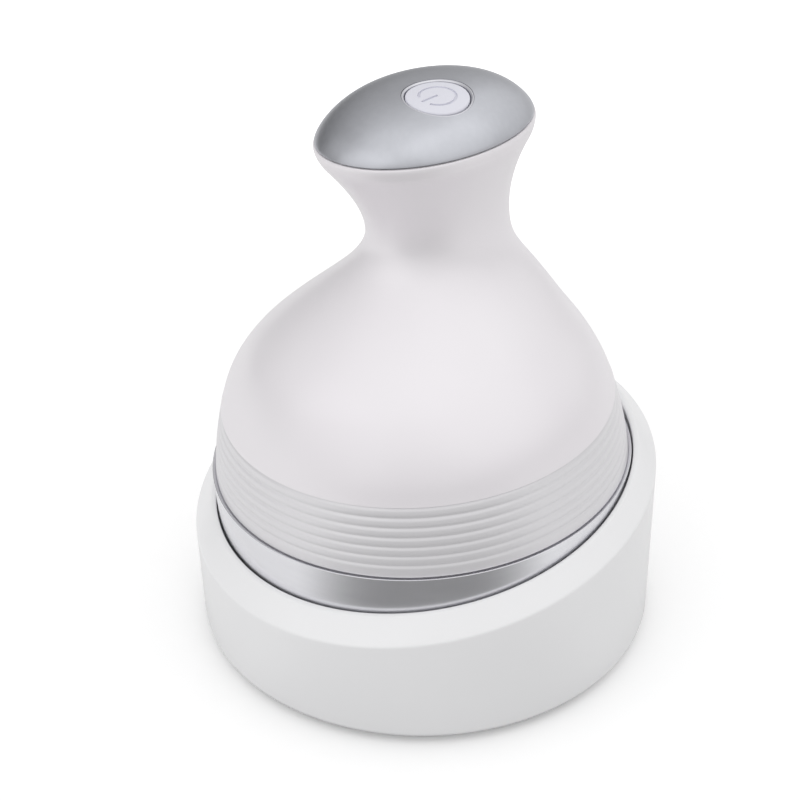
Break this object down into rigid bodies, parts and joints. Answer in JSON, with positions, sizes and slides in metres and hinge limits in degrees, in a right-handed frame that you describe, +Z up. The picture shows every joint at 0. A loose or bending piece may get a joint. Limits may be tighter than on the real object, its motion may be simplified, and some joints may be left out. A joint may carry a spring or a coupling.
{
  "type": "electric scalp massager",
  "caption": "Hand-held scalp massager with a bell-shaped body, oval metal head and round button, standing upright in a slanted charging cup.",
  "frame": {"origin": "centre of the stand's foot, on the table", "axes": "+Z up, -Y to the front where the stand's rim is low, +X to the right seen from the front; the massager leans 2.9 degrees forwards"},
  "size_m": [0.1068, 0.1068, 0.1287],
  "materials": {
    "stand_white": "white, semi-gloss moulding",
    "cradle_white": "white, fine matt",
    "base_grey": "grey, matt",
    "foot_rubber": "dark grey rubber",
    "ballast_steel": "zinc-plated steel ring",
    "circuit_board": "green circuit board",
    "port_steel": "stamped steel",
    "gold_contact": "gold-plated brass",
    "pearl_white": "satin pearl white with a faint pink tint",
    "collar_pearl": "satin pearl white, slightly greyer",
    "band_metal": "satin-polished silver plating",
    "inner_plastic": "white ABS",
    "bearing_bronze": "sintered bronze",
    "seal_rubber": "black rubber",
    "gearbox_metal": "die-cast grey zinc",
    "motor_steel": "plated steel can",
    "cell_wrap": "blue wrapped cell",
    "plate_metal": "satin silver dome",
    "bezel_metal": "bright silver ring",
    "switch_black": "black",
    "button_lilac": "pale lilac grey, satin",
    "spindle_steel": "ground steel",
    "pinion_brass": "cut brass",
    "gear_nylon": "natural nylon",
    "carrier_white": "white ABS",
    "claw_silicone": "pale grey silicone"
  },
  "bodies": {
    "stand": {"stand_shell": "stand_white", "stand_cradle": "cradle_white", "stand_base": "base_grey", "stand_foot": "foot_rubber", "stand_weight": "ballast_steel", "stand_board": "circuit_board", "usb_port": "port_steel", "pin_sleeves": "gold_contact"},
    "massager": {"upper_housing": "pearl_white", "rib_collar": "collar_pearl", "trim_band": "band_metal", "base_plate": "inner_plastic", "mid_plate": "inner_plastic", "motor_plate": "inner_plastic", "bushings": "bearing_bronze", "shaft_seals": "seal_rubber", "contact_pads": "gold_contact", "gearbox": "gearbox_metal", "motor": "motor_steel", "chassis": "inner_plastic", "cell": "cell_wrap", "main_board": "circuit_board", "top_plate": "plate_metal", "button_bezel": "bezel_metal", "button_carrier": "inner_plastic", "switch_board": "circuit_board", "tact_switch": "switch_black"},
    "button": {"button_cap": "button_lilac", "switch_stem": "button_lilac"},
    "pinion": {"drive_shaft": "spindle_steel", "drive_pinion": "pinion_brass"},
    "contact_left": {"pin_left": "gold_contact"},
    "contact_right": {"pin_right": "gold_contact"},
    "head_1": {"spindle_1": "spindle_steel", "ring_gear_1": "gear_nylon", "carrier_1": "carrier_white", "claw_1": "claw_silicone", "drive_wheel": "gear_nylon"},
    "head_2": {"spindle_2": "spindle_steel", "ring_gear_2": "gear_nylon", "carrier_2": "carrier_white", "claw_2": "claw_silicone"},
    "head_3": {"spindle_3": "spindle_steel", "ring_gear_3": "gear_nylon", "carrier_3": "carrier_white", "claw_3": "claw_silicone"},
    "head_4": {"spindle_4": "spindle_steel", "ring_gear_4": "gear_nylon", "carrier_4": "carrier_white", "claw_4": "claw_silicone"}
  },
  "joints": [
    {"name": "lift_off", "type": "slide", "parent": "stand", "child": "massager", "axis": [0, -0.0506, 0.9987], "range_m": [0, 0.055]},
    {"name": "button_press", "type": "slide", "parent": "massager", "child": "button", "axis": [0.113, -0.066, 0.9914], "range_m": [-0.0005, 0], "stiffness_N_per_m": 600},
    {"name": "contact_left_spring", "type": "slide", "parent": "stand", "child": "contact_left", "axis": [0, -0.0506, 0.9987], "range_m": [-0.0008, 0], "stiffness_N_per_m": 150},
    {"name": "contact_right_spring", "type": "slide", "parent": "stand", "child": "contact_right", "axis": [0, -0.0506, 0.9987], "range_m": [-0.0008, 0], "stiffness_N_per_m": 150},
    {"name": "head_1_spin", "type": "hinge", "parent": "massager", "child": "head_1", "pos_m": [0.01701, 0.0175, 0.02539], "axis": [0, -0.0506, 0.9987], "continuous": true},
    {"name": "head_2_spin", "type": "hinge", "parent": "massager", "child": "head_2", "pos_m": [-0.01701, 0.0175, 0.02539], "axis": [0, -0.0506, 0.9987], "continuous": true},
    {"name": "head_3_spin", "type": "hinge", "parent": "massager", "child": "head_3", "pos_m": [-0.01701, -0.01647, 0.02367], "axis": [0, -0.0506, 0.9987], "continuous": true},
    {"name": "head_4_spin", "type": "hinge", "parent": "massager", "child": "head_4", "pos_m": [0.01701, -0.01647, 0.02367], "axis": [0, -0.0506, 0.9987], "continuous": true},
    {"name": "pinion_spin", "type": "hinge", "parent": "massager", "child": "pinion", "pos_m": [0, -0.0004, 0.0425], "axis": [0, -0.0506, 0.9987], "continuous": true}
  ],
  "couplings": [
    {"joint": "head_2_spin", "follows": "head_1_spin", "ratio": -1},
    {"joint": "head_3_spin", "follows": "head_1_spin", "ratio": 1},
    {"joint": "head_4_spin", "follows": "head_1_spin", "ratio": -1},
    {"joint": "pinion_spin", "follows": "head_1_spin", "ratio": -2.5}
  ]
}
